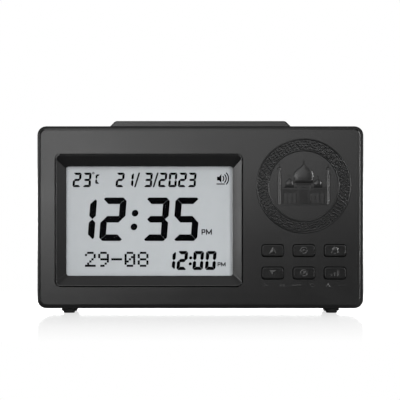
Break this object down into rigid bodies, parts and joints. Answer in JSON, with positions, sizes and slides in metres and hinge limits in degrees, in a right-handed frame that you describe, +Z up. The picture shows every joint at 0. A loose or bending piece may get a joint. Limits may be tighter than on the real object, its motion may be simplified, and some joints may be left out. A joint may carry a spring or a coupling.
{
  "type": "digital prayer clock",
  "caption": "Box-shaped black desk clock with a sunken liquid-crystal display, a round relief, front keys, a press bar on top, rubber feet, and a speaker and battery door at the back.",
  "frame": {"origin": "middle of the footprint, on the plane that the rubber feet stand on", "axes": "+X to the right as seen from the front, -Y out of the display, +Z up"},
  "size_m": [0.17, 0.0488, 0.1003],
  "materials": {
    "case_plastic": "fine-textured black moulding",
    "bezel_plastic": "smooth black moulding",
    "key_plastic": "smooth black moulding",
    "foot_rubber": "matt black rubber",
    "screw_steel": "zinc plated",
    "spring_steel": "nickel plated",
    "board_laminate": "green solder mask",
    "display_lens": "clear acrylic",
    "lcd_glass": "reflective grey liquid-crystal glass",
    "light_guide": "milky acrylic",
    "holder_plastic": "white moulding",
    "led_body": "clear epoxy over phosphor",
    "zebra_rubber": "layered conductive elastomer",
    "chip_epoxy": "black epoxy",
    "crystal_can": "drawn can",
    "capacitor_sleeve": "printed sleeve",
    "thermistor_bead": "dipped epoxy",
    "membrane_silicone": "soft silicone",
    "gasket_foam": "open foam",
    "speaker_steel": "plated pressing",
    "magnet_ferrite": "ground ferrite",
    "cone_paper": "pressed paper",
    "cell_sleeve": "plain foil sleeve",
    "jack_moulding": "black moulding",
    "jack_pin_plating": "nickel plated",
    "lead_jacket": "red vinyl"
  },
  "bodies": {
    "case": {"backlight_led": "led_body", "battery_cell_1": "cell_sleeve", "battery_cell_2": "cell_sleeve", "battery_cell_3": "cell_sleeve", "battery_lead": "lead_jacket", "board_screw_1": "screw_steel", "board_screw_2": "screw_steel", "board_screw_3": "screw_steel", "board_screw_4": "screw_steel", "case_screw_1": "screw_steel", "case_screw_2": "screw_steel", "case_screw_3": "screw_steel", "case_screw_4": "screw_steel", "clock_chip": "chip_epoxy", "contact_link_left": "spring_steel", "contact_link_right": "spring_steel", "contact_plate_negative": "spring_steel", "contact_plate_positive": "spring_steel", "contact_spring_1": "spring_steel", "contact_spring_2": "spring_steel", "contact_spring_3": "spring_steel", "display_bezel": "bezel_plastic", "display_lens": "display_lens", "filter_capacitor": "capacitor_sleeve", "foot_front_left": "foot_rubber", "foot_front_right": "foot_rubber", "foot_rear_left": "foot_rubber", "foot_rear_right": "foot_rubber", "front_housing": "case_plastic", "jack_pin": "jack_pin_plating", "key_membrane": "membrane_silicone", "lcd_holder": "holder_plastic", "lcd_panel": "lcd_glass", "light_guide": "light_guide", "main_board": "board_laminate", "power_jack": "jack_moulding", "quartz_crystal": "crystal_can", "rear_cover": "case_plastic", "snooze_board": "board_laminate", "snooze_dome": "membrane_silicone", "snooze_spring_left": "spring_steel", "snooze_spring_right": "spring_steel", "speaker_basket": "speaker_steel", "speaker_cone": "cone_paper", "speaker_gasket": "gasket_foam", "speaker_lead": "lead_jacket", "speaker_magnet": "magnet_ferrite", "speaker_screw_1": "screw_steel", "speaker_screw_2": "screw_steel", "speaker_screw_3": "screw_steel", "thermistor": "thermistor_bead", "zebra_strip": "zebra_rubber"},
    "key_lower_left": {"key_lower_left": "key_plastic"},
    "key_lower_middle": {"key_lower_middle": "key_plastic"},
    "key_lower_right": {"key_lower_right": "key_plastic"},
    "key_upper_left": {"key_upper_left": "key_plastic"},
    "key_upper_middle": {"key_upper_middle": "key_plastic"},
    "key_upper_right": {"key_upper_right": "key_plastic"},
    "snooze_bar": {"snooze_bar": "case_plastic"},
    "battery_door": {"battery_door": "case_plastic"}
  },
  "joints": [
    {"name": "key_lower_left_press", "type": "slide", "parent": "case", "child": "key_lower_left", "axis": [0, 1, 0], "range_m": [0, 0.001], "stiffness_N_per_m": 300, "springref_m": -0.0005, "deforming": ["key_membrane"]},
    {"name": "key_lower_middle_press", "type": "slide", "parent": "case", "child": "key_lower_middle", "axis": [0, 1, 0], "range_m": [0, 0.001], "stiffness_N_per_m": 300, "springref_m": -0.0005, "deforming": ["key_membrane"]},
    {"name": "key_lower_right_press", "type": "slide", "parent": "case", "child": "key_lower_right", "axis": [0, 1, 0], "range_m": [0, 0.001], "stiffness_N_per_m": 300, "springref_m": -0.0005, "deforming": ["key_membrane"]},
    {"name": "key_upper_left_press", "type": "slide", "parent": "case", "child": "key_upper_left", "axis": [0, 1, 0], "range_m": [0, 0.001], "stiffness_N_per_m": 300, "springref_m": -0.0005, "deforming": ["key_membrane"]},
    {"name": "key_upper_middle_press", "type": "slide", "parent": "case", "child": "key_upper_middle", "axis": [0, 1, 0], "range_m": [0, 0.001], "stiffness_N_per_m": 300, "springref_m": -0.0005, "deforming": ["key_membrane"]},
    {"name": "key_upper_right_press", "type": "slide", "parent": "case", "child": "key_upper_right", "axis": [0, 1, 0], "range_m": [0, 0.001], "stiffness_N_per_m": 300, "springref_m": -0.0005, "deforming": ["key_membrane"]},
    {"name": "snooze_bar_press", "type": "slide", "parent": "case", "child": "snooze_bar", "axis": [0, 0, -1], "range_m": [0, 0.001], "stiffness_N_per_m": 400, "springref_m": -0.002, "deforming": ["snooze_spring_left", "snooze_spring_right", "snooze_dome"]},
    {"name": "battery_door_hinge", "type": "hinge", "parent": "case", "child": "battery_door", "pos_m": [-0.032, 0.02435, 0.0734], "axis": [1, 0, 0], "range_deg": [0, 40]}
  ]
}
